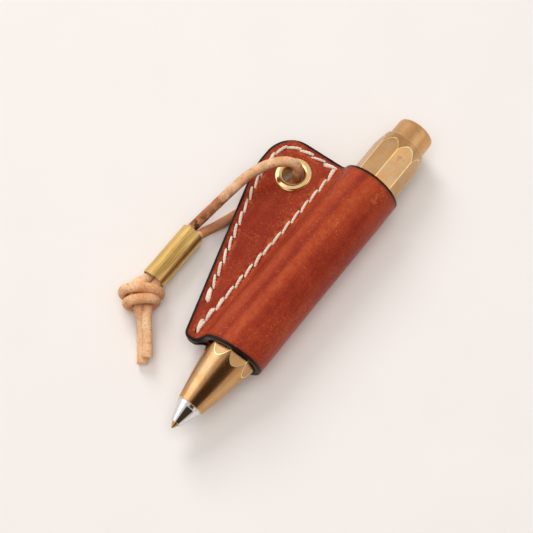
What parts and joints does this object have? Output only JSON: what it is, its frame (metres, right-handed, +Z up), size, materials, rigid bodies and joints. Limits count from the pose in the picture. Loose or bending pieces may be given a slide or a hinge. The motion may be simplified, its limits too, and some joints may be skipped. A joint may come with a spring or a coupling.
{
  "type": "single pen sleeve",
  "caption": "Leather sleeve folded round one push-button pen and saddle-stitched into a wing, with an eyelet, a looped cord, a slide bead and the pen itself.",
  "frame": {"origin": "under the middle of the sleeve's and pen's box, on the surface they lie on", "axes": "+Y along the pen towards its push button, the wing points to -X, +Z up"},
  "size_m": [0.0433, 0.106, 0.0174],
  "materials": {
    "sleeve_leather": "smooth vegetable-tanned grain, semi-gloss, dark burnished edges",
    "waxed_thread": "waxed twisted thread",
    "eyelet_brass": "polished",
    "cord_leather": "round natural leather cord, matte",
    "bead_brass": "brushed along its length",
    "barrel_brass": "polished",
    "nose_chrome": "polished",
    "refill_steel": "satin",
    "spring_steel": "drawn wire",
    "click_plastic": "moulded"
  },
  "bodies": {
    "sleeve": {"leather_sleeve": "sleeve_leather", "stitching": "waxed_thread", "eyelet": "eyelet_brass", "eyelet_washer": "eyelet_brass"},
    "cord": {"cord_upper": "cord_leather", "cord_lower": "cord_leather", "cord_knot": "cord_leather", "cord_tails": "cord_leather"},
    "bead": {"slide_bead": "bead_brass"},
    "pen": {"front_barrel": "barrel_brass", "rear_barrel": "barrel_brass", "nose_cap": "nose_chrome", "click_guide": "click_plastic", "return_spring": "spring_steel"},
    "button": {"push_button": "barrel_brass", "click_plunger": "click_plastic"},
    "refill": {"refill_tube": "refill_steel", "refill_point": "refill_steel", "click_rotor": "click_plastic"}
  },
  "joints": [
    {"name": "pen_slide", "type": "slide", "parent": "sleeve", "child": "pen", "axis": [0, 1, 0], "range_m": [0, 0.09]},
    {"name": "button_click", "type": "slide", "parent": "pen", "child": "button", "axis": [0, 1, 0], "range_m": [-0.0015, 0.005]},
    {"name": "refill_travel", "type": "slide", "parent": "pen", "child": "refill", "axis": [0, 1, 0], "range_m": [-0.0015, 0.005], "deforming": ["return_spring"]},
    {"name": "cord_swing", "type": "hinge", "parent": "sleeve", "child": "cord", "pos_m": [-0.00831, 0.0222, 0.0059], "axis": [0, 0, 1], "range_deg": [-6, 10]},
    {"name": "bead_slide", "type": "slide", "parent": "cord", "child": "bead", "axis": [0, 1, 0], "range_m": [0, 0.001]}
  ],
  "couplings": [
    {"joint": "refill_travel", "follows": "button_click", "ratio": 1}
  ]
}
